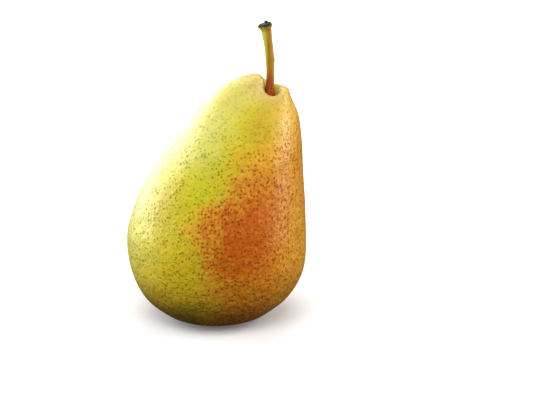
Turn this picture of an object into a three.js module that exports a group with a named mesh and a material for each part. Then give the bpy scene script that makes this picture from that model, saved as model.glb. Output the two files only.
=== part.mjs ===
// A ripe dessert pear standing on its base, with its woody stalk and its dried calyx.
// Millimetres, +Z up. The front is -Y, and the stalk end leans towards +X.
// The origin lies on the resting surface, under the middle of the belly.

import * as THREE from 'three';

// ---- Driving dimensions ----
const roundSegments = 56;
const stalkSegments = 18;
const gap = 0.3;

const belly = { radius: 33.3, height: 31 };
const shoulder = { radius: 27.8, height: 56 };
const crest = { radius: 5.8, height: 88.2 };

const restingRing = { inner: 10, outer: 13 };
const basinDepth = 5.5;

const lean = { start: 30, span: 60, reach: 17.4, power: 1.68 };
const bellyShift = { distance: 0.45, from: 3, to: 20 };
const cavityOffset = 3;
const cavityReach = 13;
const leftRise = 2.1;
const backRise = 1.2;
const saddleRise = 1.7;
const crownStart = 66;

const stalkFoot = { radius: 1.9, height: 82.8 };
const stalkTop = 112.4;
const stalkLean = 2.1;
const stalkSway = 0.25;
const socketDepth = 2.2;

const sepalCount = 5;
const sepalLength = 3.6;
const sepalHalfWidth = 1.2;
const sepalThickness = 0.6;
const sepalRoot = { radius: 2.5, height: 4.2 };
const sepalSlope = THREE.MathUtils.degToRad(42);
const stamenRadius = { top: 1.1, tip: 1.5 };
const stamenLength = 2.8;

// ---- Materials ----
const skin = new THREE.MeshStandardMaterial({ color: 0xc9bc45, roughness: 0.38, metalness: 0 });
const bark = new THREE.MeshStandardMaterial({ color: 0x9a6226, roughness: 0.7, metalness: 0 });
const driedSepal = new THREE.MeshStandardMaterial({ color: 0x3d2413, roughness: 0.9, metalness: 0 });

// ---- Helpers ----
// An outline turned about the upright axis.
function turned(outline, segments) {
  return new THREE.LatheGeometry(outline, segments).rotateX(Math.PI / 2);
}

// Moves every vertex of a geometry by a function of its place.
function reshaped(geometry, move) {
  const places = geometry.attributes.position;
  const place = new THREE.Vector3();
  for (let i = 0; i < places.count; i += 1) {
    place.fromBufferAttribute(places, i);
    move(place);
    places.setXYZ(i, place.x, place.y, place.z);
  }
  geometry.computeVertexNormals();
  return geometry;
}

function named(name, geometry, material) {
  const mesh = new THREE.Mesh(geometry, material);
  mesh.name = name;
  return mesh;
}

// ---- Fruit body ----
// The socket holds the stalk's foot, with the gap all round it.
const socket = {
  radius: stalkFoot.radius + gap,
  floor: stalkFoot.height - gap,
  rim: stalkFoot.height - gap + socketDepth,
};

// The outline runs from the middle of the calyx basin, out over the flat resting ring,
// up the flank, over the crest and down into the stalk cavity.
function bodyOutline() {
  const basinWidth = restingRing.inner;
  const outline = new THREE.Path();
  outline.moveTo(0, basinDepth);
  outline.bezierCurveTo(basinWidth * 0.5, basinDepth, basinWidth * 0.75, 0, basinWidth, 0);
  outline.lineTo(restingRing.outer, 0);
  outline.splineThru([
    new THREE.Vector2(20.5, 2.8),
    new THREE.Vector2(27.6, 9.5),
    new THREE.Vector2(32, 19),
    new THREE.Vector2(belly.radius, belly.height),
    new THREE.Vector2(31.6, 43),
    new THREE.Vector2(shoulder.radius, shoulder.height),
    new THREE.Vector2(22.8, 69),
    new THREE.Vector2(16.7, 79.5),
    new THREE.Vector2(10.2, 86.3),
    new THREE.Vector2(crest.radius, crest.height),
  ]);
  outline.bezierCurveTo(
    crest.radius - 1.6, crest.height + 0.3,
    socket.radius + 0.6, socket.rim + 2.2,
    socket.radius, socket.rim,
  );
  outline.lineTo(socket.radius, socket.floor);
  outline.lineTo(0, socket.floor);
  return outline.getPoints(5);
}

// How far the fruit has grown to one side at a height.
function leanAt(height) {
  const rise = Math.max(0, height - lean.start) / lean.span;
  const shift = THREE.MathUtils.smoothstep(height, bellyShift.from, bellyShift.to);
  return lean.reach * rise ** lean.power + bellyShift.distance * shift;
}

// The neck leans, and the cavity lies to the right of the neck's middle. The crest makes
// two lobes beside the cavity, the left one higher, with the lowest dip at the front.
function growBody(place) {
  if (place.z < lean.start) {
    place.x += leanAt(place.z);
    return;
  }
  const radius = Math.hypot(place.x, place.y);
  const inCavity = radius < crest.radius && place.z > crownStart;
  const growth = inCavity
    ? THREE.MathUtils.smoothstep(radius, socket.radius, crest.radius)
    : THREE.MathUtils.smoothstep(place.z, crownStart, crest.height);
  const side = place.x / Math.max(radius, socket.radius);
  const depth = place.y / Math.max(radius, socket.radius);
  const nearCavity = 1 - THREE.MathUtils.smoothstep(radius, crest.radius, cavityReach);
  place.x += leanAt(inCavity ? crest.height : place.z) + cavityOffset * nearCavity;
  const saddle = saddleRise * (side ** 2 - depth ** 2);
  place.z += growth * (backRise * depth - leftRise * side + saddle);
}

// ---- Stalk ----
// It swells where it broke off the tree, and bends a little to the left on its way up.
function stalkOutline() {
  const outline = new THREE.Path();
  outline.moveTo(0, stalkFoot.height);
  outline.lineTo(stalkFoot.radius, stalkFoot.height);
  outline.splineThru([
    new THREE.Vector2(1.5, 91),
    new THREE.Vector2(1.6, 99),
    new THREE.Vector2(1.8, 106),
    new THREE.Vector2(2.4, 109.5),
    new THREE.Vector2(2.1, 111.4),
  ]);
  outline.lineTo(0, stalkTop);
  return outline.getPoints(3);
}

const stalkRootX = leanAt(crest.height) + cavityOffset;

function growStalk(place) {
  const rise = (place.z - stalkFoot.height) / (stalkTop - stalkFoot.height);
  const sway = stalkSway * Math.sin(Math.PI * rise) ** 2;
  place.x += stalkRootX + sway - stalkLean * rise ** 3;
}

// ---- Dried calyx, in the basin underneath ----
function sepalGeometry() {
  const outline = new THREE.Shape();
  outline.moveTo(0, -sepalHalfWidth);
  outline.quadraticCurveTo(sepalLength * 0.6, -sepalHalfWidth, sepalLength, 0);
  outline.quadraticCurveTo(sepalLength * 0.6, sepalHalfWidth, 0, sepalHalfWidth);
  outline.closePath();
  return new THREE.ExtrudeGeometry(outline, {
    depth: sepalThickness,
    bevelEnabled: false,
    curveSegments: 6,
  });
}

// One sepal slopes down and outwards, on an arm turned to its place round the calyx.
function sepal(number) {
  const arm = new THREE.Group();
  const leaf = named(`calyx_sepal_${number}`, sepalGeometry(), driedSepal);
  leaf.position.set(sepalRoot.radius, 0, sepalRoot.height);
  leaf.rotation.y = sepalSlope;
  arm.add(leaf);
  arm.rotation.z = ((number - 0.5) * 2 * Math.PI) / sepalCount;
  return arm;
}

function stamenOutline() {
  const top = basinDepth - gap;
  return [
    new THREE.Vector2(0, top - stamenLength),
    new THREE.Vector2(stamenRadius.tip, top - stamenLength),
    new THREE.Vector2(stamenRadius.top, top),
    new THREE.Vector2(0, top),
  ];
}

// ---- The pear ----
const pear = new THREE.Group();
const fruitBody = reshaped(turned(bodyOutline(), roundSegments), growBody);
const stalk = reshaped(turned(stalkOutline(), stalkSegments), growStalk);
pear.add(named('fruit_body', fruitBody, skin));
pear.add(named('stem', stalk, bark));
for (let number = 1; number <= sepalCount; number += 1) {
  pear.add(sepal(number));
}
pear.add(named('dried_stamens', turned(stamenOutline(), 12), driedSepal));

export default pear;
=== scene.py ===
# %% [markdown]
# # A ripe pear, standing on its base
#
# The pear grew as one piece, so the fruit is one closed mesh: a broad belly, a neck that leans to one side,
# and two lobes that close round the stalk. The stalk is a second piece, and the dried flower in the basin
# underneath gives five sepals and a tuft of stamens. The shapes are worked out in millimetres and end up in
# metres, round a fixed frame whose plain solids give each piece its place and size.

import math
import random

import bmesh
import bpy
from mathutils import Matrix, Vector, noise


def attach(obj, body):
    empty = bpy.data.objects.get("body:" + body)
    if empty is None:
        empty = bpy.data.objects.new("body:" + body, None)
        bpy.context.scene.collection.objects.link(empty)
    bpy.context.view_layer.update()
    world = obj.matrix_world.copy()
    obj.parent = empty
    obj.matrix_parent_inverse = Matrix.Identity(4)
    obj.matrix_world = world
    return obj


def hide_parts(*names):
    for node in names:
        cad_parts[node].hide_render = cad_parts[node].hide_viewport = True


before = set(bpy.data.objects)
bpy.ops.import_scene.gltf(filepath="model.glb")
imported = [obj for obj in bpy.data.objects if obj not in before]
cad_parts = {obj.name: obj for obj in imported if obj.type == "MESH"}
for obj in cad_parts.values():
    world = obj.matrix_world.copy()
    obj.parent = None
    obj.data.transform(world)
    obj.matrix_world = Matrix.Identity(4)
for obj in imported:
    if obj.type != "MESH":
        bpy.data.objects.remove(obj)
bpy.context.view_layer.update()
print("frame nodes:", sorted(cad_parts))

# %% [markdown]
# ## Camera
#
# A pear looks true when it is seen from a little above and from far enough away. A short lens close by
# would swell the belly, so a long lens is chosen, which hardly bends the outline. The camera looks past the
# pear to its right, so that the fruit stands left of the middle of the picture.

# %% Camera
MM = 0.001
CAMERA_ELEVATION = math.radians(17)
CAMERA_DISTANCE = 566 * MM
LOOK_AT = Vector((21.9, 0, 42)) * MM
LENS_LENGTH, SENSOR_WIDTH = 100, 36


def link(name, data):
    made = bpy.data.objects.new(name, data)
    bpy.context.scene.collection.objects.link(made)
    return made


def aim(thing, backwards):
    """Turns a camera or lamp so that its back points along the direction given."""
    thing.rotation_mode = "QUATERNION"
    thing.rotation_quaternion = (-backwards).to_track_quat("-Z", "Y")


camera_data = bpy.data.cameras.new("camera")
camera_data.lens = LENS_LENGTH
camera_data.sensor_width = SENSOR_WIDTH
camera = link("camera", camera_data)
backwards = Vector((0, -math.cos(CAMERA_ELEVATION), math.sin(CAMERA_ELEVATION)))
camera.location = LOOK_AT + backwards * CAMERA_DISTANCE
aim(camera, backwards)
bpy.context.scene.camera = camera
print("camera", round(CAMERA_DISTANCE, 3), "m away")

# %% [markdown]
# ## Floor and surroundings
#
# The pear stands in a white tent on a large pale sheet. One big grid is enough for the sheet. An evenly
# bright world would wash the colours out, because every part of the skin would mirror it, so the world
# looks white to the camera but gives the pear only about a third of that light.

# %% Floor and surroundings
FLOOR_SIZE = 8.0
WORLD_LIGHT, WORLD_SEEN = 0.35, 1.0


def plain_floor():
    sheet = bmesh.new()
    bmesh.ops.create_grid(sheet, x_segments=1, y_segments=1, size=FLOOR_SIZE / 2)
    mesh = bpy.data.meshes.new("floor")
    sheet.to_mesh(mesh)
    sheet.free()
    return link("floor", mesh)


floor = plain_floor()

world = bpy.data.worlds.new("white_tent")
bpy.context.scene.world = world
world.use_nodes = True
surround = world.node_tree.nodes["Background"]
path = world.node_tree.nodes.new("ShaderNodeLightPath")
strength = world.node_tree.nodes.new("ShaderNodeMapRange")
strength.inputs["To Min"].default_value = WORLD_LIGHT
strength.inputs["To Max"].default_value = WORLD_SEEN
surround.inputs["Color"].default_value = (1, 1, 1, 1)
world.node_tree.links.new(path.outputs["Is Camera Ray"], strength.inputs["Value"])
world.node_tree.links.new(strength.outputs["Result"], surround.inputs["Strength"])
bpy.context.scene.view_settings.view_transform = "Standard"
print("floor", FLOOR_SIZE, "m across")

# %% [markdown]
# ## Soft lights
#
# Fruit is lit best by large soft lights at its sides and behind it, whose mirror images lie along its edges
# as a pale sheen. A light in front would put a white veil over the blush, so the two in front only light
# the skin and aren't mirrored in it. The light behind the left edge does the opposite: it is there for its
# mirror image alone. All of them are hidden from the camera, which may walk all round the pear.

# %% Soft lights
LIT_POINT = Vector((0, 0, 50)) * MM


def soft_light(name, azimuth, elevation, distance, size, power, mirrored=True, lighting=True):
    data = bpy.data.lights.new(name, "AREA")
    data.shape = "RECTANGLE"
    data.size, data.size_y = size
    data.energy = power
    lamp = link(name, data)
    turn, rise = math.radians(azimuth), math.radians(elevation)
    towards = Vector((math.sin(turn) * math.cos(rise), -math.cos(turn) * math.cos(rise), math.sin(rise)))
    lamp.location = LIT_POINT + towards * distance
    aim(lamp, towards)
    lamp.visible_camera = False
    lamp.visible_glossy = mirrored
    lamp.visible_diffuse = lighting


# Azimuth and elevation are in degrees, distance and size in metres, and power in watts.
soft_light("front_top_softbox", -5, 52, 0.9, (0.7, 0.5), 5.3, mirrored=False)
soft_light("left_softbox", -76, 8, 0.8, (0.5, 0.35), 1.25, mirrored=False)
soft_light("left_back_softbox", -113, 15, 0.75, (0.6, 0.6), 4.4)
soft_light("left_edge_softbox", -148, 12, 0.8, (0.5, 0.5), 3.0, lighting=False)
soft_light("right_softbox", 92, 16, 0.8, (0.4, 0.7), 4.5)
soft_light("back_top_softbox", 180, 62, 0.9, (0.7, 0.5), 2.2)
print("lights:", sorted(light.name for light in bpy.data.lights))

# %% [markdown]
# ## A smooth outline from a few points
#
# A fruit's outline is best given by a few points that a smooth curve passes through. A Bezier curve object
# could hold them, but its handles are hard to read in a script, so a short helper draws the curve through
# the points, and its slope at each point follows the two neighbours.

# %% Smooth outline
def smooth_between(before, start, end, after, share):
    """A point on the curve from start to end, whose slope follows the neighbours (Catmull-Rom)."""
    leaving, arriving = (end - before) / 2, (after - start) / 2
    bend = 2 * start - 2 * end + leaving + arriving
    return bend * share**3 + (3 * (end - start) - 2 * leaving - arriving) * share**2 + leaving * share + start


def smooth_outline(points, steps):
    points = [Vector((radius, 0, height)) for radius, height in points]
    curve = []
    for index in range(len(points) - 1):
        before = points[max(index - 1, 0)]
        after = points[min(index + 2, len(points) - 1)]
        for step in range(steps):
            curve.append(smooth_between(before, points[index], points[index + 1], after, step / steps))
    return curve + [points[-1]]


def smoothstep(low, high, value):
    share = min(max((value - low) / (high - low), 0), 1)
    return share * share * (3 - 2 * share)


print("a corner of 3 points becomes", len(smooth_outline([(0, 0), (1, 0), (1, 1)], 4)), "points")

# %% [markdown]
# ## Turning an outline
#
# Fruit and stalk are nearly round, so each starts as an outline spun about the upright axis, and its own
# shape comes after. The outline starts and ends on the axis, and the points that the spin leaves there on
# top of each other are merged, so the body is closed.

# %% Turning and finishing
MERGE_DISTANCE = 1e-5


def turned(outline, segments):
    body = bmesh.new()
    corners = [body.verts.new(point) for point in outline]
    edges = [body.edges.new(pair) for pair in zip(corners, corners[1:])]
    bmesh.ops.spin(
        body, geom=corners + edges, cent=(0, 0, 0), axis=(0, 0, 1),
        angle=2 * math.pi, steps=segments, use_merge=True,
    )
    bmesh.ops.remove_doubles(body, verts=body.verts, dist=MERGE_DISTANCE)
    bmesh.ops.recalc_face_normals(body, faces=body.faces)
    return body


def finished_piece(name, body, subdivisions=0):
    """Turns a bmesh in millimetres into a smooth object in metres."""
    bmesh.ops.scale(body, vec=(MM, MM, MM), verts=body.verts)
    for face in body.faces:
        face.smooth = True
    mesh = bpy.data.meshes.new(name)
    body.to_mesh(mesh)
    body.free()
    piece = link(name, mesh)
    if subdivisions:
        subdivide = piece.modifiers.new("smooth", "SUBSURF")
        subdivide.levels = subdivide.render_levels = subdivisions
    print(name, len(mesh.polygons), "faces")
    return piece


# %% [markdown]
# ## The fruit's outline
#
# The outline starts in the middle of the calyx basin underneath, comes out over the ring that the pear
# stands on, climbs the flank and goes over the crest into the stalk cavity. The whole fruit could be
# sculpted from a sphere, but an outline gives the belly and the neck their measured widths at once.

# %% The fruit's outline
CREST_RADIUS, CREST_HEIGHT = 5.8, 88.2
CROWN_START = 66
RING_RADIUS = 11.5
OUTLINE_STEPS = 6

fruit_outline = smooth_outline(
    [
        (0, 5.6), (3, 5.4), (5.6, 4.0), (8.2, 1.4), (RING_RADIUS, 0), (15.5, 0.9),
        (20.5, 2.9), (27.6, 9.5), (32, 19), (33.3, 31), (31.6, 43), (27.8, 56), (22.8, 69),
        (17.0, 79.5), (10.2, 86.3), (CREST_RADIUS, CREST_HEIGHT),
        (4.5, 87.6), (3.6, 86.2), (2.9, 84.4), (2.1, 83.0), (1.1, 82.3), (0, 82.2),
    ],
    steps=OUTLINE_STEPS,
)
print("fruit outline", len(fruit_outline), "points")

# %% [markdown]
# ## How the neck leans
#
# A pear's neck grows to one side, more and more towards the top. Bones or a bend modifier could do it, but
# a function of the height is exact, and the stalk can ask it where the crown has gone. All these functions
# work in millimetres.

# %% The lean of the neck
LEAN_START, LEAN_SPAN, LEAN_REACH, LEAN_POWER = 30, 60, 17.4, 1.68
BELLY_SHIFT, SHIFT_HEIGHTS = 0.45, (3, 20)
CAVITY_OFFSET, CAVITY_REACH = 3.0, 13


def lean_at(height):
    neck = LEAN_REACH * (max(0, height - LEAN_START) / LEAN_SPAN) ** LEAN_POWER
    return neck + BELLY_SHIFT * smoothstep(*SHIFT_HEIGHTS, height)


print("the crown leans", round(lean_at(CREST_HEIGHT), 1), "mm to the right")

# %% [markdown]
# ## The crown
#
# The crown closes round the stalk in two lobes, with the left one higher and the lowest dip at the front.
# The crest is a ring, so its height is a function of the angle round the stalk: slow waves make the lobes,
# and narrow bumps make a fold and rounded ends. The cavity's left wall closes up to the stalk.

# %% The crown's lobes
LEFT_RISE, BACK_RISE, SADDLE_RISE = 2.1, 1.2, 1.7

# Each bump has an angle in degrees, a width in radians and a height in millimetres.
CREST_BUMPS = {
    "left lobe's front end": (-142, 0.35, 1.1),
    "left lobe's back": (112, 0.35, 0.6),
    "fold in the left lobe": (150, 0.2, -0.5),
    "right corner rounded off": (18, 0.45, -0.9),
}

# The cavity's left wall: the angles that it covers, where it starts and ends, and how far it closes.
WALL_MIDDLE, WALL_EDGES = math.radians(170), (math.radians(45), math.radians(80))
WALL_INNER, WALL_OUTER = (1.2, 2.6), (4.4, CREST_RADIUS)
WALL_CLOSING = 0.33


def bump_at(angle, degrees, width, height):
    """A bump of one height at one angle, fading out over a width in radians."""
    return height * math.exp(-((angle - math.radians(degrees)) / width) ** 2)


def crown_rise(angle):
    rise = -LEFT_RISE * math.cos(angle) + BACK_RISE * math.sin(angle) + SADDLE_RISE * math.cos(2 * angle)
    for bump in CREST_BUMPS.values():
        rise += bump_at(angle, *bump)
    return rise


def close_to_stalk(radius, angle):
    """The share of its radius that a point keeps where the cavity's left wall closes up to the stalk."""
    from_left = abs(math.remainder(angle - WALL_MIDDLE, 2 * math.pi))
    on_left = 1 - smoothstep(*WALL_EDGES, from_left)
    on_wall = smoothstep(*WALL_INNER, radius) * (1 - smoothstep(*WALL_OUTER, radius))
    return 1 - WALL_CLOSING * on_left * on_wall


print("left lobe", round(crown_rise(math.pi), 1), "mm, front dip", round(crown_rise(-math.pi / 2), 1), "mm")

# %% [markdown]
# ## Folds and lumps
#
# Underneath, five soft folds run out of the calyx basin, one between each pair of sepals. A real fruit is
# also never quite even, so slow noise moves the skin in and out by half a millimetre. The noise fades out
# where the fruit stands, so that it still rests on its ring, and at the crown, which has its own shape.

# %% Calyx folds and slow lumps
FOLD_COUNT, FOLD_DEPTH, FOLD_TURN = 5, 0.35, 0.6
FOLD_RADIUS, FOLD_REACH = 7.5, 3.5
LUMPS_START, LUMPS_END = (1.5, 8), (78, 86)

# The size and height of each noise in millimetres, and the place in it where the fruit lies.
BROAD_SIZE, BROAD_HEIGHT, BROAD_PLACE = 24, 0.6, Vector((3.1, 0.4, 7.7))
SMALL_SIZE, SMALL_HEIGHT, SMALL_PLACE = 9, 0.18, Vector((11.3, 5.2, 1.9))


def calyx_fold(radius, angle):
    weight = math.exp(-((radius - FOLD_RADIUS) / FOLD_REACH) ** 2)
    return FOLD_DEPTH * weight * math.cos(FOLD_COUNT * angle + FOLD_TURN)


def lumps(point, normal):
    weight = smoothstep(*LUMPS_START, point.z) * (1 - smoothstep(*LUMPS_END, point.z))
    broad = noise.noise(point / BROAD_SIZE + BROAD_PLACE)
    small = noise.noise(point / SMALL_SIZE + SMALL_PLACE)
    return normal * weight * (BROAD_HEIGHT * broad + SMALL_HEIGHT * small)


print(FOLD_COUNT, "folds,", FOLD_DEPTH, "mm deep")

# %% [markdown]
# ## Growing the fruit
#
# The spun body now grows into the pear: every point moves by the functions above. A point below the start
# of the lean gets only the folds and the belly's small shift. Smoothing the crown afterwards rounds its
# lobes off, as they are on ripe fruit, and one level of subdivision gives the skin a smooth edge at any
# size.

# %% The fruit
ROUND_SEGMENTS = 144
SOCKET_RADIUS, GROWN_RADIUS = 1.4, 0.75 * CREST_RADIUS
FOLD_START = (0.05, 1.5)
SMOOTHED_ABOVE, STALK_CLEARANCE = 79, 3.2
SMOOTHING_ROUNDS, SMOOTHING_FACTOR = 8, 0.5


def grow(point):
    radius, angle = math.hypot(point.x, point.y), math.atan2(point.y, point.x)
    if point.z < LEAN_START:
        point.z += calyx_fold(radius, angle) * smoothstep(*FOLD_START, point.z)
        point.x += lean_at(point.z)
        return
    in_cavity = radius < CREST_RADIUS and point.z > CROWN_START
    if in_cavity:
        growth = smoothstep(SOCKET_RADIUS, GROWN_RADIUS, radius)
        closing = close_to_stalk(radius, angle)
        point.x, point.y = point.x * closing, point.y * closing
    else:
        growth = smoothstep(CROWN_START, CREST_HEIGHT, point.z)
    height = CREST_HEIGHT if in_cavity else point.z
    near_cavity = 1 - smoothstep(CREST_RADIUS, CAVITY_REACH, radius)
    point.x += lean_at(height) + CAVITY_OFFSET * near_cavity
    point.z += growth * crown_rise(angle)


fruit = turned(fruit_outline, ROUND_SEGMENTS)
for vertex in fruit.verts:
    grow(vertex.co)

stalk_axis = Vector((lean_at(CREST_HEIGHT) + CAVITY_OFFSET, 0))
high = [vertex for vertex in fruit.verts if vertex.co.z > SMOOTHED_ABOVE]
crown = [vertex for vertex in high if (vertex.co.xy - stalk_axis).length > STALK_CLEARANCE]
for _ in range(SMOOTHING_ROUNDS):
    bmesh.ops.smooth_vert(
        fruit, verts=crown, factor=SMOOTHING_FACTOR, use_axis_x=True, use_axis_y=True, use_axis_z=True,
    )

fruit.normal_update()
for vertex in fruit.verts:
    vertex.co += lumps(vertex.co, vertex.normal)
fruit_piece = finished_piece("pear_fruit", fruit, subdivisions=1)

# %% [markdown]
# ## The stalk
#
# The stalk is woody, about three millimetres thick, a little ridged, and swollen at the end where it broke
# off the tree. A curve with a round bevel would be the quick way, but it can't have a ragged end. So it
# starts as a turned outline, like the fruit, and is then bent, ridged and made uneven.

# %% The stalk's outline
STALK_FOOT, STALK_TOP = 82.3, 112.4
STALK_LEAN, STALK_SWAY = 2.1, 0.25

stalk_outline = smooth_outline(
    [
        (0, STALK_FOOT), (2.1, STALK_FOOT + 0.1), (1.9, 84.2), (1.6, 86.5), (1.47, 90), (1.45, 94),
        (1.6, 98), (1.62, 102), (1.72, 105), (1.92, 107.8), (2.25, 109.4), (2.5, 110.4), (2.2, 111.1),
        (1.2, 111.2), (0, 111.2),
    ],
    steps=OUTLINE_STEPS,
)
print("stalk outline", len(stalk_outline), "points")

# %% [markdown]
# ## Bending the stalk
#
# The stalk bends to the left, more and more towards its top. Low waves round it make ridges, and a soft
# bump makes a knot. Its end is tilted and drawn up into a splinter where it tore off the tree. A chain of
# bones could bend it, but all of this is a function of a point's place, like the growth of the fruit. Noise
# roughens the bark at the end.

# %% The stalk
STALK_SEGMENTS = 32
THREE_RIDGES, SEVEN_RIDGES = 0.05, 0.03
KNOT_HEIGHT, KNOT_LENGTH, KNOT_SIZE = 97, 1.5, 0.22
BREAK_HEIGHTS, BREAK_TILT, BREAK_DROP = (107.5, 110.5), 0.24, 0.8
SPLINTER_HEIGHT, SPLINTER_X, SPLINTER_SPREAD = 1.2, 0.5, 0.6
BARK_ROUGHNESS, END_ROUGHNESS, END_HEIGHTS = 0.10, 0.25, (108, 110.5)
BARK_NOISE = 0.9


def bend_stalk(point):
    """The stalk bends to the left as it rises, with a knot half way up its right side."""
    angle = math.atan2(point.y, point.x)
    rise = (point.z - STALK_FOOT) / (STALK_TOP - STALK_FOOT)
    ridges = 1 + THREE_RIDGES * math.cos(3 * angle + 2 * rise) + SEVEN_RIDGES * math.cos(7 * angle - rise)
    knot = KNOT_SIZE * math.exp(-((point.z - KNOT_HEIGHT) / KNOT_LENGTH) ** 2) * max(0, math.cos(angle)) ** 2
    point.x = point.x * ridges + knot * math.cos(angle)
    point.y = point.y * ridges + knot * math.sin(angle)
    broken = smoothstep(*BREAK_HEIGHTS, point.z)
    splinter = SPLINTER_HEIGHT * math.exp(-((point.x - SPLINTER_X) ** 2 + point.y**2) / SPLINTER_SPREAD)
    point.z += broken * (BREAK_TILT * point.x + splinter - BREAK_DROP)
    point.x += stalk_axis.x - STALK_LEAN * rise**3 + STALK_SWAY * math.sin(math.pi * rise) ** 2


stalk = turned(stalk_outline, STALK_SEGMENTS)
for vertex in stalk.verts:
    bend_stalk(vertex.co)
stalk.normal_update()
for vertex in stalk.verts:
    rough = BARK_ROUGHNESS + END_ROUGHNESS * smoothstep(*END_HEIGHTS, vertex.co.z)
    vertex.co += vertex.normal * rough * noise.noise(vertex.co * BARK_NOISE)
stalk_heights = [vertex.co.z for vertex in stalk.verts]
print("stalk", round(max(stalk_heights) - min(stalk_heights), 1), "mm long")
stalk_piece = finished_piece("pear_stalk", stalk, subdivisions=1)

# %% [markdown]
# ## The dried sepals
#
# Underneath, in the basin, sit the dried remains of the flower. Each of the five sepals is a small pointed
# leaf, curled back at its tip. A flat cut-out would look like paper, so a grid is pulled into the leaf's
# shape, crinkled by noise and given a thickness with solidify.

# %% Sepals
SEPAL_COUNT = 5
SEPAL_LENGTH, SEPAL_WIDTH, SEPAL_THICKNESS = 4.6, 2.6, 0.3
SEPAL_ROOT = Vector((2.1, 0, 4.6))
SEPAL_RUN, SEPAL_DROP = 0.72, 0.62
TIP_WIDTH, TIP_CURL, EDGE_CURL, CRINKLE = 0.08, 0.9, 0.35, 0.22


def sepal(number, turn):
    leaf = bmesh.new()
    bmesh.ops.create_grid(leaf, x_segments=12, y_segments=6, size=0.5)
    for vertex in leaf.verts:
        along, across = vertex.co.x + 0.5, vertex.co.y * 2
        width = SEPAL_WIDTH / 2 * (1 - along**1.6) ** 0.8 + TIP_WIDTH
        crinkle = CRINKLE * noise.noise(Vector((along * 4, across * 1.5, number * 7.3)))
        curl = TIP_CURL * along**2.2 + EDGE_CURL * across**2 * (1 - along)
        run, drop = SEPAL_LENGTH * along * SEPAL_RUN, SEPAL_LENGTH * along * SEPAL_DROP
        vertex.co = SEPAL_ROOT + Vector((run, across * width, curl + crinkle - drop))
    bmesh.ops.recalc_face_normals(leaf, faces=leaf.faces)
    bmesh.ops.solidify(leaf, geom=leaf.faces[:], thickness=SEPAL_THICKNESS)
    bmesh.ops.rotate(leaf, cent=(0, 0, 0), matrix=Matrix.Rotation(turn, 3, "Z"), verts=leaf.verts)
    bmesh.ops.recalc_face_normals(leaf, faces=leaf.faces)
    return finished_piece(f"dried_sepal_{number}", leaf, subdivisions=1)


sepal_pieces = [
    sepal(number, (number - 0.5) * 2 * math.pi / SEPAL_COUNT) for number in range(1, SEPAL_COUNT + 1)
]

# %% [markdown]
# ## The dried stamens
#
# Between the sepals stands a tuft of dried stamens: fine threads with a small head each. Hair would vanish
# in an exported model, so each thread is a thin cone and each head a small ball, set out in a spiral and
# leaned by seeded dice, so that they fall the same way on every run.

# %% Stamens
STAMEN_COUNT = 18
STAMEN_ROOT = 5.3
GOLDEN_TURN = 2.4
TUFT_START, TUFT_SPREAD = 0.35, 1.15
THREAD_LENGTHS, THREAD_LEANS = (2.0, 2.9), (0.1, 0.45)
THREAD_ROOT, THREAD_TIP, HEAD_RADIUS = 0.10, 0.14, 0.26
DICE_SEED = 5


def stamens():
    dice = random.Random(DICE_SEED)
    tuft = bmesh.new()
    for index in range(STAMEN_COUNT):
        out = TUFT_START + TUFT_SPREAD * math.sqrt(index / STAMEN_COUNT)
        length = dice.uniform(*THREAD_LENGTHS)
        lean = Matrix.Rotation(dice.uniform(*THREAD_LEANS), 4, "Y")
        turn = Matrix.Rotation(index * GOLDEN_TURN, 4, "Z")
        place = turn @ Matrix.Translation((out, 0, STAMEN_ROOT)) @ lean.inverted()
        bmesh.ops.create_cone(
            tuft, segments=6, radius1=THREAD_ROOT, radius2=THREAD_TIP, depth=length, cap_ends=True,
            matrix=place @ Matrix.Translation((0, 0, -length / 2)),
        )
        head = place @ Matrix.Translation((0, 0, -length))
        bmesh.ops.create_icosphere(tuft, subdivisions=1, radius=HEAD_RADIUS, matrix=head)
    bmesh.ops.recalc_face_normals(tuft, faces=tuft.faces)
    return finished_piece("dried_stamen_tuft", tuft)


stamen_piece = stamens()

# %% [markdown]
# ## Node helpers
#
# Materials are written as short lists of nodes. They could be wired by hand in the editor, but in a script
# each node then takes several lines. One helper adds a node with its settings and inputs, where an input is
# a value or the output of another node. Colours are given as they look, on the usual scale up to 255, and
# are turned into the linear values that shaders use.

# %% Adding nodes
def linear(red, green, blue):
    """A colour as shaders use it, from one as it looks, by the usual curve for screens."""
    def channel(value):
        share = value / 255
        return share / 12.92 if share <= 0.04045 else ((share + 0.055) / 1.055) ** 2.4
    return (channel(red), channel(green), channel(blue), 1)


def set_input(tree, socket, value):
    if isinstance(value, bpy.types.NodeSocket):
        tree.links.new(value, socket)
    else:
        socket.default_value = value


def add(tree, kind, settings=None, **inputs):
    """A new node. Inputs are named with _ for a space, or i0, i1... for their position."""
    node = tree.nodes.new("ShaderNode" + kind)
    for name, value in (settings or {}).items():
        setattr(node, name, value)
    for name, value in inputs.items():
        is_index = name[0] == "i" and name[1:].isdigit()
        socket = node.inputs[int(name[1:])] if is_index else node.inputs[name.replace("_", " ")]
        set_input(tree, socket, value)
    return node


print("middle grey is", round(linear(128, 128, 128)[0], 3), "in linear light")

# %% [markdown]
# ## Arithmetic and colour nodes
#
# Masks and colours are added, multiplied, limited and mixed all the time. Each such step is a Math, Map
# Range or Mix node, and a short function for each of them lets a material read like a sum. A Mix node keeps
# hidden sockets for other kinds of data, so its function picks the ones that are switched on.

# %% Arithmetic and colour nodes
def calculate(tree, operation, first, second=0.0):
    return add(tree, "Math", {"operation": operation}, i0=first, i1=second).outputs[0]


def times(tree, first, second):
    return calculate(tree, "MULTIPLY", first, second)


def plus(tree, first, second):
    return calculate(tree, "ADD", first, second)


def minus(tree, first, second):
    return calculate(tree, "SUBTRACT", first, second)


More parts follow.
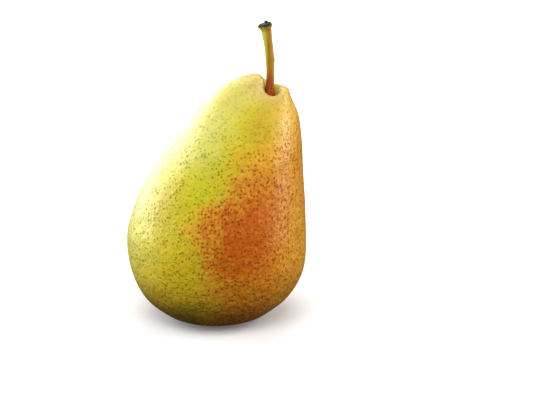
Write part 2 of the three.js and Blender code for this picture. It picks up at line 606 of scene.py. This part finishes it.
def spread(tree, value, low, high, start=0.0, end=1.0, smooth=True):
    """Maps low..high on to start..end, held at both ends."""
    kind = "SMOOTHSTEP" if smooth else "LINEAR"
    return add(
        tree, "MapRange", {"interpolation_type": kind},
        Value=value, From_Min=low, From_Max=high, To_Min=start, To_Max=end,
    ).outputs["Result"]


def blend_colours(tree, share, first, second):
    mix = add(tree, "Mix", {"data_type": "RGBA"})
    for name, value in (("Factor", share), ("A", first), ("B", second)):
        set_input(tree, next(s for s in mix.inputs if s.name == name and s.enabled), value)
    return next(s for s in mix.outputs if s.enabled)


print("helpers:", calculate.__name__, spread.__name__, blend_colours.__name__)

# %% [markdown]
# ## Node groups
#
# An effect that several materials share could be wired again in each of them. As a node group it is built
# once, with named inputs and outputs, and each material then sets the inputs to its own values.

# %% Node groups
def new_group(name, inputs, outputs):
    """An empty node group with named sockets: (name, kind, default) and (name, kind)."""
    group = bpy.data.node_groups.new(name, "ShaderNodeTree")
    for socket_name, kind, default in inputs:
        socket = group.interface.new_socket(socket_name, in_out="INPUT", socket_type="NodeSocket" + kind)
        if default is not None:
            socket.default_value = default
    for socket_name, kind in outputs:
        group.interface.new_socket(socket_name, in_out="OUTPUT", socket_type="NodeSocket" + kind)
    print("group", name)
    return group, group.nodes.new("NodeGroupInput"), group.nodes.new("NodeGroupOutput")


# %% [markdown]
# ## Mottling
#
# Skin, bark and dry leaf all change unevenly from place to place. One noise texture pushed through two
# limits gives soft islands, and because each material wants its own size and limits, the effect is a node
# group that is built once and placed with different values.

# %% Mottling
def make_mottle():
    group, inside, outside = new_group(
        "mottle",
        [("Vector", "Vector", None), ("Scale", "Float", 100.0), ("Detail", "Float", 3.0),
         ("Low", "Float", 0.4), ("High", "Float", 0.6)],
        [("Mask", "Float")],
    )
    cloud = add(group, "TexNoise", Vector=inside.outputs["Vector"], Scale=inside.outputs["Scale"],
                Detail=inside.outputs["Detail"], Roughness=0.55)
    mask = spread(group, cloud.outputs[0], inside.outputs["Low"], inside.outputs["High"])
    group.links.new(mask, outside.inputs["Mask"])
    return group


mottle = make_mottle()


def mottle_mask(tree, vector, scale, low, high, detail=3.0):
    node = add(tree, "Group", {"node_tree": mottle}, Vector=vector, Scale=scale, Low=low, High=high,
               Detail=detail)
    return node.outputs["Mask"]


# %% [markdown]
# ## Dots
#
# Fruit and stalk breathe through small corky dots. They could be thousands of tiny meshes, but a Voronoi
# texture scatters them for nothing: each cell of space holds one ball, and the surface cuts the balls into
# dots of different sizes. Noise shakes their outlines, and some cells stay empty. Round each dot the group
# also gives a soft halo, in which the blush can gather.

# %% Dots
DOT_SHAKE_SCALE = 1600.0
SMALLEST_DOT, LARGEST_DOT, HALO_REACH = 0.6, 1.15, 2.4


def make_dots():
    group, inside, outside = new_group(
        "dots",
        [("Vector", "Vector", None), ("Scale", "Float", 700.0), ("Radius", "Float", 0.25),
         ("Softness", "Float", 0.1), ("Keep", "Float", 1.0), ("Wobble", "Float", 0.0)],
        [("Mask", "Float"), ("Halo", "Float")],
    )
    place = inside.outputs["Vector"]
    shake = add(group, "TexNoise", Vector=place, Scale=DOT_SHAKE_SCALE, Detail=1.0)
    centred = add(group, "VectorMath", {"operation": "SUBTRACT"}, i0=shake.outputs["Color"],
                  i1=(0.5, 0.5, 0.5))
    moved = add(group, "VectorMath", {"operation": "SCALE"}, i0=centred.outputs[0],
                Scale=inside.outputs["Wobble"])
    shaken = add(group, "VectorMath", {"operation": "ADD"}, i0=place, i1=moved.outputs[0])
    cells = add(group, "TexVoronoi", {"feature": "F1"}, Vector=shaken.outputs[0],
                Scale=inside.outputs["Scale"], Randomness=1.0)
    chance = add(group, "SeparateColor", Color=cells.outputs["Color"])
    size = spread(group, chance.outputs[0], 0.0, 1.0, SMALLEST_DOT, LARGEST_DOT, smooth=False)
    radius = times(group, inside.outputs["Radius"], size)
    inner = minus(group, radius, inside.outputs["Softness"])
    dot = spread(group, cells.outputs["Distance"], inner, radius, 1.0, 0.0)
    kept = calculate(group, "LESS_THAN", chance.outputs[1], inside.outputs["Keep"])
    halo = spread(group, cells.outputs["Distance"], 0.0, times(group, radius, HALO_REACH), 1.0, 0.0)
    group.links.new(times(group, dot, kept), outside.inputs["Mask"])
    group.links.new(times(group, halo, kept), outside.inputs["Halo"])
    return group


dots = make_dots()


def scattered(tree, place, scale, radius, softness, keep, wobble=0.0):
    """A node whose Mask and Halo are the dots; radius and softness are shares of a cell."""
    return add(tree, "Group", {"node_tree": dots}, Vector=place, Scale=scale, Radius=radius,
               Softness=softness, Keep=keep, Wobble=wobble)


# %% [markdown]
# ## Patches
#
# Many colours belong to one place on the fruit, such as the pale crown, which is partly painted sheen, and
# the russet round the stalk, which is partly painted shade.
# Painting them would need an unwrapped texture. A patch is an ellipsoid with a soft edge that says the same
# thing with a centre and three radii, and noise lets its edge wander.

# %% Patches
EDGE_CLOUD_SCALE = 160.0


def make_patch():
    group, inside, outside = new_group(
        "patch",
        [("Vector", "Vector", None), ("Centre", "Vector", None), ("Radii", "Vector", (0.01, 0.01, 0.01)),
         ("Edge", "Float", 0.5), ("Wander", "Float", 0.0)],
        [("Mask", "Float")],
    )
    away = add(group, "VectorMath", {"operation": "SUBTRACT"}, i0=inside.outputs["Vector"],
               i1=inside.outputs["Centre"])
    scaled = add(group, "VectorMath", {"operation": "DIVIDE"}, i0=away.outputs[0], i1=inside.outputs["Radii"])
    reach = add(group, "VectorMath", {"operation": "LENGTH"}, i0=scaled.outputs[0]).outputs["Value"]
    cloud = add(group, "TexNoise", Vector=inside.outputs["Vector"], Scale=EDGE_CLOUD_SCALE, Detail=4.0,
                Roughness=0.6)
    shift = times(group, minus(group, cloud.outputs[0], 0.5), inside.outputs["Wander"])
    inner = minus(group, 1.0, inside.outputs["Edge"])
    outer = plus(group, 1.0, inside.outputs["Edge"])
    mask = spread(group, plus(group, reach, shift), inner, outer, 1.0, 0.0)
    group.links.new(mask, outside.inputs["Mask"])
    return group


patch = make_patch()


def patch_mask(tree, vector, centre, radii, edge=0.5, wander=0.0):
    """A soft patch, its centre and radii in millimetres."""
    node = add(tree, "Group", {"node_tree": patch}, Vector=vector, Centre=Vector(centre) * MM,
               Radii=Vector(radii) * MM, Edge=edge, Wander=wander)
    return node.outputs["Mask"]


# %% [markdown]
# ## The floor's tone
#
# The floor is plain and pale. It shows near white, and its far part glows, so that it runs into the white
# surroundings without an edge. A white floor would throw light up under the fruit, whose base should stay
# deep in tone, so to all light other than the camera's the floor is dark.

# %% Floor material
FLOOR_SEEN, FLOOR_UNSEEN = (0.94, 0.94, 0.94, 1), (0.05, 0.05, 0.045, 1)
GLOW_FAR, GLOW_NEAR, GLOW_NONE = (0.8, 0.8, 0.8, 1), (0.08, 0.08, 0.08, 1), (0, 0, 0, 1)
NEAR_PART = ((0, 0, 0), (280, 280, 280), 0.7)


def floor_material():
    material = bpy.data.materials.new("pale_floor")
    material.use_nodes = True
    tree = material.node_tree
    shader = tree.nodes["Principled BSDF"]
    place = add(tree, "TexCoord").outputs["Object"]
    seen = add(tree, "LightPath").outputs["Is Camera Ray"]
    tree.links.new(blend_colours(tree, seen, FLOOR_UNSEEN, FLOOR_SEEN), shader.inputs["Base Color"])
    near = patch_mask(tree, place, *NEAR_PART)
    glow = blend_colours(tree, near, GLOW_FAR, GLOW_NEAR)
    tree.links.new(blend_colours(tree, seen, GLOW_NONE, glow), shader.inputs["Emission Color"])
    shader.inputs["Emission Strength"].default_value = 1.0
    shader.inputs["Roughness"].default_value = 0.9
    shader.inputs["Specular IOR Level"].default_value = 0.1
    return material


floor.data.materials.append(floor_material())
print("material on", floor.name)

# %% [markdown]
# ## Where the blush lies
#
# The side of a pear that faced the sun has a red blush, which is strongest on the belly's front right. It
# could be painted by hand, but a rule that says how many millimetres inside the blush a point lies needs no
# painted map, and lets the edge lean. It reads Object coordinates, which stay with the piece.

# %% Blush field
BLUSH_LEAN, BLUSH_LEVEL, BLUSH_MARGIN = 0.6, 38.0, 4.3
BLUSH_BEHIND = 0.45

# Between these heights in millimetres the edge moves in by this many millimetres, so the base has less blush.
BASE_FADE = (10.0, 46.0, 20.0, 0.0)


def blush_field(tree, place):
    axes = add(tree, "SeparateXYZ", Vector=place)
    x, y, z = (times(tree, axes.outputs[i], 1 / MM) for i in range(3))
    edge = times(tree, minus(tree, z, BLUSH_LEVEL), BLUSH_LEAN)
    behind = times(tree, calculate(tree, "MAXIMUM", y, 0.0), BLUSH_BEHIND)
    low = spread(tree, z, *BASE_FADE)
    across = minus(tree, minus(tree, minus(tree, x, edge), behind), low)
    return plus(tree, across, BLUSH_MARGIN), z


print("the blush's edge leans", BLUSH_LEAN, "mm across for each mm up")

# %% [markdown]
# ## Ground colour, painted sheen and painted shade
#
# Under the blush the skin is yellow, with a lime side and a pale crown, partly painted sheen. It turns gold
# down the belly and olive at the base, where the olive is partly painted shade under the fruit. Some zones
# are painted
# light: a pale painted sheen left of the neck and on the left flank, and darker painted shade on the back,
# the front rim, the left belly and partly on the golden neck. A colour ramp by height alone would look like
# painted bands. Here each zone is a soft patch, laid over the one before it like a thin glaze, so that each
# can be moved or tinted on its own.

# %% Ground colour, painted sheen and painted shade
YELLOW, LIME, CLOUD = linear(215, 204, 26), linear(206, 203, 20), linear(230, 218, 44)
# The olive at the base is partly the skin's own tone and partly painted shade under the fruit.
GOLD, OLIVE_AND_BASE_SHADE = linear(238, 199, 38), linear(118, 80, 8)
LIME_SIDE = ((2, -24, 68), (18, 20, 27), 0.7, 1.0)
CLOUD_SIZES, CLOUD_STRENGTH = (420.0, 0.42, 0.68), 0.4

# The heights in millimetres between which a tone comes in, and its strength at each.
GOLD_FADE, OLIVE_AND_SHADE_FADE = (48.0, 16.0, 0.0, 0.85), (22.0, 3.0, 0.0, 0.87)

# Each zone has a centre and radii in millimetres, an edge, a wander, a strength and a colour.
UPPER_ZONES = {
    # The zone on the back is painted shade: darker, so that the strong lights behind the fruit don't wash it
    # out.
    "back": ((0, 36, 45), (44, 24, 62), 0.7, 0.6, 0.85, linear(186, 172, 58)),
    # The pale zone left of the neck is a painted sheen.
    "painted sheen left of the neck": ((-7, -9, 78), (13, 19, 16), 0.7, 0.8, 0.8, linear(226, 218, 128)),
    # The crown's pale tone is partly the skin's own and partly painted sheen.
    "crown": ((10, 2, 92), (19, 20, 13), 0.8, 0.8, 1.0, linear(218, 206, 106)),
    # The golden zone on the neck is partly the skin's own gold and partly painted shade in a hollow.
    "golden neck with painted shade": ((18.5, -17, 77), (8, 9, 9), 0.6, 0.8, 1.0, linear(196, 172, 30)),
    # The zone on the front rim is painted shade on the lip of the stalk cavity.
    "painted shade on the front rim": ((21.5, -9, 85.5), (4.5, 4, 3.2), 0.6, 0.6, 0.8, linear(188, 158, 66)),
    "left lobe": ((16.5, -5.5, 88.5), (4.5, 4.5, 4), 0.8, 0.9, 0.8, linear(220, 186, 112)),
    "right shoulder": ((29, -6, 78), (8, 14, 13), 0.7, 0.8, 0.8, linear(208, 172, 88)),
}
LOWER_ZONES = {
    # The pale zone on the left flank is a painted sheen.
    "painted sheen on the left flank": ((-34, -4, 37), (15, 32, 20), 0.7, 0.8, 0.8, linear(230, 223, 100)),
    # The darker zone on the left belly is painted shade.
    "painted shade on the left belly": ((-18, -25, 49), (10, 12, 10), 0.7, 0.8, 0.6, linear(198, 174, 22)),
}


def glaze(tree, place, under, zone):
    centre, radii, edge, wander, strength, colour = zone
    mask = times(tree, patch_mask(tree, place, centre, radii, edge, wander), strength)
    return blend_colours(tree, mask, under, colour)


def ground_colour(tree, place, height_mm):
    ground = blend_colours(tree, patch_mask(tree, place, *LIME_SIDE), YELLOW, LIME)
    cloud = mottle_mask(tree, place, *CLOUD_SIZES)
    ground = blend_colours(tree, times(tree, cloud, CLOUD_STRENGTH), ground, CLOUD)
    for zone in UPPER_ZONES.values():
        ground = glaze(tree, place, ground, zone)
    ground = blend_colours(tree, spread(tree, height_mm, *GOLD_FADE), ground, GOLD)
    for zone in LOWER_ZONES.values():
        ground = glaze(tree, place, ground, zone)
    return blend_colours(tree, spread(tree, height_mm, *OLIVE_AND_SHADE_FADE), ground, OLIVE_AND_BASE_SHADE)


print("zones:", ", ".join([*UPPER_ZONES, *LOWER_ZONES]))

# %% [markdown]
# ## The blush
#
# The blush doesn't cover the ground like paint. It gathers round the corky dots and along fine veins first,
# and fills the space between them only where it is strong, which is why its edge looks freckled. So the
# dots' halos and the veins are added to the blush's strength before the sum is pushed through two limits.

# %% The blush
HAZE, BLUSH, BLUSH_CORE = linear(242, 184, 48), linear(222, 124, 16), linear(208, 96, 5)
FLECK = linear(240, 172, 62)
CORE = ((10, -32, 42), (17, 18, 17), 0.7, 0.7)
EDGE_WANDER, EDGE_DEPTH = 10.0, (-20.0, 16.0)
BLUSH_LIMITS, HAZE_LIMITS = (0.5, 1.6), (0.05, 0.7)

# Between two heights, or two depths inside the blush, the blush weakens from the third value to the fourth.
FADE_UP, FADE_RIGHT = (52.0, 84.0, 1.0, 0.45), (16.0, 30.0, 1.0, 0.72)

# The veins and flecks have a scale, two limits and a detail.
VEINS, FLECKS = (950.0, 0.34, 0.66, 2.0), (620.0, 0.5, 0.66, 2.0)


def blush_strength(tree, place, field, height_mm):
    """How strong the blush is, fading upwards and towards the far right."""
    broad = mottle_mask(tree, place, 95.0, 0.3, 0.7, 5.0)
    wander = times(tree, minus(tree, broad, 0.5), EDGE_WANDER)
    amount = spread(tree, plus(tree, field, wander), *EDGE_DEPTH)
    fade_up = spread(tree, height_mm, *FADE_UP)
    fade_right = spread(tree, field, *FADE_RIGHT)
    return times(tree, amount, times(tree, fade_up, fade_right))


def blushed(tree, place, ground, amount, halo):
    gather = times(tree, plus(tree, halo, mottle_mask(tree, place, *VEINS)), 0.5)
    contrast = spread(tree, amount, 0.3, 0.9, 0.55, 0.95)
    core = patch_mask(tree, place, *CORE)
    reach = plus(tree, times(tree, amount, 0.9), times(tree, gather, contrast))
    blush = spread(tree, plus(tree, reach, times(tree, core, 0.2)), *BLUSH_LIMITS)
    skin = blend_colours(tree, spread(tree, amount, *HAZE_LIMITS), ground, HAZE)
    skin = blend_colours(tree, blush, skin, BLUSH)
    skin = blend_colours(tree, times(tree, core, blush), skin, BLUSH_CORE)
    outside_core = spread(tree, core, 0.0, 1.0, 0.55, 0.1)
    fleck = times(tree, mottle_mask(tree, place, *FLECKS), outside_core)
    return blend_colours(tree, times(tree, fleck, blush), skin, FLECK), blush


print("blush colours, as linear red:", [round(tone[0], 2) for tone in (HAZE, BLUSH, BLUSH_CORE)])

# %% [markdown]
# ## Corky dots
#
# The dots are olive on the green side and red-brown on the blush, faint on the neck and strong at the
# belly. Two sizes, each from the group of dots with its own scale, look more like growth than one size
# does.

# %% Corky dots
OLIVE_DOT, RED_DOT = linear(118, 104, 0), linear(148, 54, 0)
FAINT_PART = ((12, 0, 90), (26, 30, 26), 0.5, 0.4)
LARGE_STRONG, LARGE_FAINT = 0.62, 0.2
SMALL_FADE = (80.0, 30.0, 0.08, 0.38)


def skin_dots(tree, place):
    large = scattered(tree, place, scale=860.0, radius=0.42, softness=0.16, keep=0.92, wobble=0.9 * MM)
    small = scattered(tree, place, scale=1400.0, radius=0.38, softness=0.18, keep=0.6, wobble=0.6 * MM)
    return large, small


def dotted(tree, place, skin, blush, large, small, height_mm):
    colour = blend_colours(tree, blush, OLIVE_DOT, RED_DOT)
    faint = patch_mask(tree, place, *FAINT_PART)
    large_strength = spread(tree, faint, 0.0, 1.0, LARGE_STRONG, LARGE_FAINT, smooth=False)
    large_dots = times(tree, large.outputs["Mask"], large_strength)
    skin = blend_colours(tree, large_dots, skin, colour)
    small_dots = times(tree, small.outputs["Mask"], spread(tree, height_mm, *SMALL_FADE))
    return blend_colours(tree, small_dots, skin, colour), large_dots


print("dots, as linear red:", round(OLIVE_DOT[0], 2), "to", round(RED_DOT[0], 2))

# %% [markdown]
# ## Russet and painted shade round the stalk
#
# Where water lies, round the stalk's foot and in the calyx basin, the skin turns to brown cork. Round the
# stalk's foot the brown patch is also painted shade, darkening the cavity beside the stalk. Two patches in
# those places, with wandering edges, are all it takes.

# %% Russet and painted shade
RUSSET_AND_SHADE = linear(110, 66, 20)
# Round the stalk's foot the patch is partly russet and partly painted shade in the cavity.
STALK_RUSSET_AND_SHADE = ((18.7, -0.8, 84.2), (3.7, 4.3, 4.0), 0.5, 0.5)
IN_BASIN = ((0, 0, 5), (7.5, 7.5, 4.5), 0.4, 0.8)


def russeted_and_shaded(tree, place, skin):
    stalk_russet_and_shade, in_basin = (patch_mask(tree, place, *where) for where in (STALK_RUSSET_AND_SHADE, IN_BASIN))
    return blend_colours(tree, calculate(tree, "MAXIMUM", stalk_russet_and_shade, in_basin), skin, RUSSET_AND_SHADE)


print("russet at the stalk and in the basin")

# %% [markdown]
# ## Gloss and relief
#
# A pear has a thin natural wax over skin that is faintly dimpled, like leather. A clear coat gives the wax,
# a little light under the surface gives the flesh, and two noises of different size make the dimples with a
# Bump node. The dots are dry cork, so the coat is thin on them.

# %% Gloss and relief
WAX, WAX_ON_CORK = 0.6, 0.1
SMOOTHEST, ROUGHEST, CORK_ROUGHNESS = 0.34, 0.50, 0.2
PEEL_SCALE, PEEL_HEIGHT = 750.0, 0.4
WAVES_SCALE, CORK_HEIGHT = 260.0, 0.15
BUMP_STRENGTH, BUMP_DISTANCE = 0.9, 0.75 * MM
SKIN_CONSTANTS = {
    "Specular IOR Level": 0.4,
    "Specular Tint": (1.0, 0.85, 0.35, 1),
    "Coat Roughness": 0.32,
    "Subsurface Weight": 0.06,
    "Subsurface Radius": (1.0, 0.6, 0.2),
    "Subsurface Scale": 1.5 * MM,
}


def skin_gloss(tree, shader, place, cork, large_dots):
    sheen = mottle_mask(tree, place, 300.0, 0.3, 0.7, 4.0)
    roughness = plus(tree, spread(tree, sheen, 0.0, 1.0, SMOOTHEST, ROUGHEST, smooth=False),
                     times(tree, large_dots, CORK_ROUGHNESS))
    tree.links.new(roughness, shader.inputs["Roughness"])
    wax = spread(tree, cork, 0.0, 1.0, WAX, WAX_ON_CORK, smooth=False)
    tree.links.new(wax, shader.inputs["Coat Weight"])
    for name, value in SKIN_CONSTANTS.items():
        shader.inputs[name].default_value = value


def skin_relief(tree, shader, place, cork):
    peel = add(tree, "TexNoise", Vector=place, Scale=PEEL_SCALE, Detail=3.0, Roughness=0.5).outputs[0]
    waves = add(tree, "TexNoise", Vector=place, Scale=WAVES_SCALE, Detail=2.0, Roughness=0.5).outputs[0]
    height = plus(tree, plus(tree, times(tree, peel, PEEL_HEIGHT), waves), times(tree, cork, CORK_HEIGHT))
    bump = add(tree, "Bump", Height=height, Strength=BUMP_STRENGTH, Distance=BUMP_DISTANCE)
    tree.links.new(bump.outputs["Normal"], shader.inputs["Normal"])


print("coat weight", WAX, "on the skin and", WAX_ON_CORK, "on the dots")

# %% [markdown]
# ## The skin
#
# The layers now go on in the order in which they lie on the fruit: ground with its painted sheen and shade,
# blush, dots, russet with painted shade round the stalk, and the wax over them all. Keeping each in its own
# function makes this list short enough to read at a glance.

# %% Skin material
def piece_material(name):
    """A new material with its node tree, its shader and the Object coordinates."""
    material = bpy.data.materials.new(name)
    material.use_nodes = True
    tree = material.node_tree
    place = add(tree, "TexCoord").outputs["Object"]
    return material, tree, tree.nodes["Principled BSDF"], place


def skin_material():
    material, tree, shader, place = piece_material("pear_skin")
    field, height_mm = blush_field(tree, place)
    large, small = skin_dots(tree, place)
    cork = large.outputs["Mask"]
    ground = ground_colour(tree, place, height_mm)
    amount = blush_strength(tree, place, field, height_mm)
    skin, blush = blushed(tree, place, ground, amount, large.outputs["Halo"])
    skin, large_dots = dotted(tree, place, skin, blush, large, small, height_mm)
    tree.links.new(russeted_and_shaded(tree, place, skin), shader.inputs["Base Color"])
    skin_gloss(tree, shader, place, cork, large_dots)
    skin_relief(tree, shader, place, cork)
    print(material.name, len(tree.nodes), "nodes")
    return material


fruit_piece.data.materials.append(skin_material())

# %% [markdown]
# ## Bark
#
# The stalk is orange-brown, yellow-green along its left side, redder towards its foot, and near black where
# it broke off the tree. The pale yellow-green on the left is partly the bark's colour and partly painted
# light from the left. One ramp along its length couldn't tell its two sides apart. So soft patches tint the
# sides, the height reddens the foot, and a limit that noise makes ragged marks where the broken end begins.

# %% The stalk's colours
BARK_DARK, BARK_LIGHT, BARK_FOOT = linear(176, 104, 12), linear(202, 142, 30), linear(164, 66, 12)
BARK_SIDES = {
    # The green left side is partly the bark's own colour and partly painted light from the left.
    "green and painted light on the left": ((16.7, 0, 101), (2.4, 6, 17), 0.3, 0.25, 1.0, linear(226, 214, 84)),
    "pale right": ((21.6, 0, 104), (1.7, 6, 14), 0.3, 0.25, 1.0, linear(190, 150, 56)),
}
SPECK = linear(84, 48, 18)
ASH_DARK, ASH_PALE = linear(30, 28, 20), linear(74, 76, 62)
FOOT_FADE = (96 * MM, 88 * MM, 0.0, 0.85)
ASH_HEIGHTS, ASH_RAGGED = (109.7 * MM, 110.3 * MM), 1.2 * MM
ASH_MIDDLE_X, ASH_SLOPE = 18.0 * MM, 0.2


def broken_end(tree, place, axes):
    """Where the stalk's ragged, slanting end starts."""
    ragged = times(tree, add(tree, "TexNoise", Vector=place, Scale=900.0).outputs[0], ASH_RAGGED)
    slant = times(tree, minus(tree, axes.outputs[0], ASH_MIDDLE_X), ASH_SLOPE)
    level = minus(tree, plus(tree, axes.outputs[2], ragged), slant)
    return spread(tree, level, *ASH_HEIGHTS)


def bark_colour(tree, place, streaks):
    colour = blend_colours(tree, streaks, BARK_DARK, BARK_LIGHT)
    for side in BARK_SIDES.values():
        colour = glaze(tree, place, colour, side)
    axes = add(tree, "SeparateXYZ", Vector=place)
    colour = blend_colours(tree, spread(tree, axes.outputs[2], *FOOT_FADE), colour, BARK_FOOT)
    speck = scattered(tree, place, scale=1300.0, radius=0.22, softness=0.1, keep=0.5)
    colour = blend_colours(tree, times(tree, speck.outputs["Mask"], 0.5), colour, SPECK)
    ash = blend_colours(tree, mottle_mask(tree, place, 1500.0, 0.4, 0.65), ASH_DARK, ASH_PALE)
    return blend_colours(tree, broken_end(tree, place, axes), colour, ash)


print("sides:", ", ".join(BARK_SIDES))

# %% [markdown]
# ## Wood fibres
#
# Fine fibres run along the stalk. Wood grain is often made with waves, but noise drawn out lengthways by a
# Mapping node breaks up like real fibres, and it drives the colour, the roughness and the bump together.

# %% Bark material
FIBRE_SCALE, FIBRE_STRETCH = 1500.0, (1.0, 1.0, 0.12)


def bark_material():
    material, tree, shader, place = piece_material("stalk_bark")
    drawn_out = add(tree, "Mapping", Vector=place, Scale=FIBRE_STRETCH).outputs[0]
    fibres = add(tree, "TexNoise", Vector=drawn_out, Scale=FIBRE_SCALE, Detail=4.0, Roughness=0.6).outputs[0]
    streaks = spread(tree, fibres, 0.35, 0.65)
    tree.links.new(bark_colour(tree, place, streaks), shader.inputs["Base Color"])
    tree.links.new(spread(tree, streaks, 0.0, 1.0, 0.55, 0.7), shader.inputs["Roughness"])
    shader.inputs["Specular IOR Level"].default_value = 0.4
    bump = add(tree, "Bump", Height=fibres, Strength=0.6, Distance=0.2 * MM)
    tree.links.new(bump.outputs["Normal"], shader.inputs["Normal"])
    print(material.name, len(tree.nodes), "nodes")
    return material


stalk_piece.data.materials.append(bark_material())

# %% [markdown]
# ## Dry leaf
#
# The sepals and stamens are dry and brown like dead leaves, blotched, wrinkled and almost without gloss.
# They are too small for a finish of their own each, so one material with the mottling and the dots serves
# all six.

# %% Calyx material
LEAF_DARK, LEAF_WORN, LEAF_SPOT = linear(58, 38, 22), linear(112, 78, 44), linear(36, 24, 16)


def calyx_material():
    material, tree, shader, place = piece_material("dried_calyx")
    blotch = mottle_mask(tree, place, 700.0, 0.35, 0.65, 4.0)
    colour = blend_colours(tree, blotch, LEAF_DARK, LEAF_WORN)
    spot = scattered(tree, place, scale=2200.0, radius=0.22, softness=0.12, keep=0.4)
    colour = blend_colours(tree, spot.outputs["Mask"], colour, LEAF_SPOT)
    tree.links.new(colour, shader.inputs["Base Color"])
    tree.links.new(spread(tree, blotch, 0.0, 1.0, 0.75, 0.9), shader.inputs["Roughness"])
    shader.inputs["Specular IOR Level"].default_value = 0.2
    wrinkles = add(tree, "TexNoise", Vector=place, Scale=1600.0, Detail=4.0).outputs[0]
    bump = add(tree, "Bump", Height=wrinkles, Strength=0.7, Distance=0.2 * MM)
    tree.links.new(bump.outputs["Normal"], shader.inputs["Normal"])
    print(material.name, len(tree.nodes), "nodes")
    return material


dry_leaf = calyx_material()
for piece in sepal_pieces + [stamen_piece]:
    piece.data.materials.append(dry_leaf)

# %% [markdown]
# ## Fasten every piece to the frame
#
# Each piece rides on the frame's one body, and the plain solid that it replaces is hidden. Nothing in a pear
# moves, so one body is enough.

# %% Fasten and finish
def fasten(piece, node):
    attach(piece, "root")
    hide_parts(node)


fasten(fruit_piece, "fruit_body")
fasten(stalk_piece, "stem")
for number, piece in enumerate(sepal_pieces, start=1):
    fasten(piece, f"calyx_sepal_{number}")
fasten(stamen_piece, "dried_stamens")
